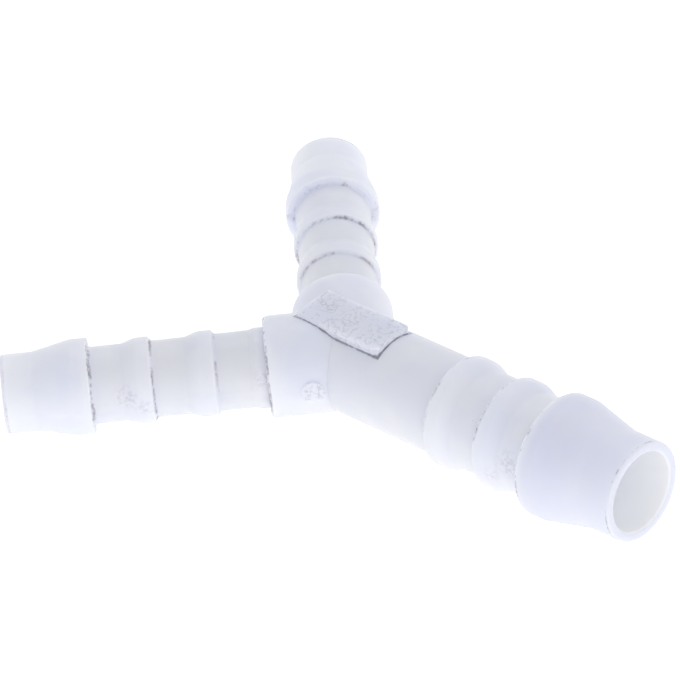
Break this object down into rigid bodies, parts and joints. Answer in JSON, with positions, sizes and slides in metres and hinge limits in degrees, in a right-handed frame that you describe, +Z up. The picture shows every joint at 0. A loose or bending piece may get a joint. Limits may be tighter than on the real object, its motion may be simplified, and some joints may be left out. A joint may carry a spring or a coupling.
{
  "type": "reducing y hose connector",
  "caption": "One-piece moulded plastic Y connector with a large barbed stem and two smaller barbed branches at right angles to each other.",
  "frame": {"origin": "on the table that the part lies on, under the middle of its length and width", "axes": "+X along the stem towards its mouth, which the larger barb lifts by about 2 degrees, +Y towards the back branch, +Z up from the table"},
  "size_m": [0.066, 0.0542, 0.0128],
  "materials": {
    "plastic": "milky, slightly translucent, semi-matte as moulded"
  },
  "bodies": {
    "root": {"y_connector": "plastic"}
  },
  "joints": []
}
